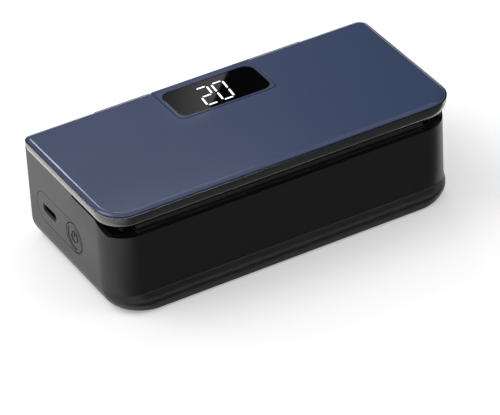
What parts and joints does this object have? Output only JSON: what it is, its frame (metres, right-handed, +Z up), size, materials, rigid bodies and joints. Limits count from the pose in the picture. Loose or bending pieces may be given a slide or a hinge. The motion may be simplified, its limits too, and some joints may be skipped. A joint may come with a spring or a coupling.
{
  "type": "vacuum sealer",
  "caption": "Compact countertop vacuum sealer: a black body with a hinged blue lid over a vacuum trough and a heater bar, a numeric display, a side button and a charging port.",
  "frame": {"origin": "middle of the object's footprint, on the surface it stands on", "axes": "+X along the length to the right, away from the end with the charging port; +Y from the bag mouth towards the hinge; +Z up"},
  "size_m": [0.19, 0.0928, 0.0566],
  "materials": {
    "lid_paint": "satin",
    "lid_black": "gloss",
    "body_black": "satin",
    "base_black": "matte",
    "deck_black": "matte",
    "display_glass": "gloss",
    "digit_white": "lit",
    "seal_silicone": "matte",
    "foot_rubber": "matte",
    "tape": "satin",
    "steel": "brushed",
    "nickel": "polished",
    "heat_alloy": "satin",
    "board_green": "satin",
    "part_black": "matte",
    "cell_wrap": "gloss"
  },
  "bodies": {
    "base": {"body_shell": "body_black", "base_cover": "base_black", "deck_tray": "deck_black", "side_panel": "body_black", "display_housing": "lid_paint", "display_lens": "display_glass", "digit_segments": "digit_white", "display_board": "board_green", "led_module": "part_black", "lower_seal": "seal_silicone", "heater_bar": "heat_alloy", "heater_wire": "nickel", "heater_tape": "tape", "suction_port": "part_black", "hinge_pin_left": "steel", "hinge_pin_right": "steel", "foot_front_left": "foot_rubber", "foot_front_right": "foot_rubber", "foot_rear_left": "foot_rubber", "foot_rear_right": "foot_rubber", "base_screws": "steel", "deck_screws": "steel", "board_screws": "steel", "main_board": "board_green", "panel_board": "board_green", "button_switch": "part_black", "charge_port": "nickel", "capacitors": "part_black", "heat_sink": "heat_alloy", "pump_motor": "steel", "pump_head": "part_black", "pump_bracket": "part_black", "pump_pad": "foot_rubber", "air_hose": "seal_silicone", "battery_cell_1": "cell_wrap", "battery_cell_2": "cell_wrap", "battery_cradle": "part_black"},
    "lid": {"lid_top_plate": "lid_paint", "lid_lower_shell": "lid_black", "lid_seal": "seal_silicone", "pressure_strip": "seal_silicone", "lid_screws": "steel"},
    "button": {"power_button": "body_black"}
  },
  "joints": [
    {"name": "lid_hinge", "type": "hinge", "parent": "base", "child": "lid", "pos_m": [0, 0.0432, 0.0504], "axis": [-1, 0, 0], "range_deg": [0, 80]},
    {"name": "button_press", "type": "slide", "parent": "base", "child": "button", "axis": [1, 0, 0], "range_m": [0, 0.0006], "stiffness_N_per_m": 800}
  ]
}
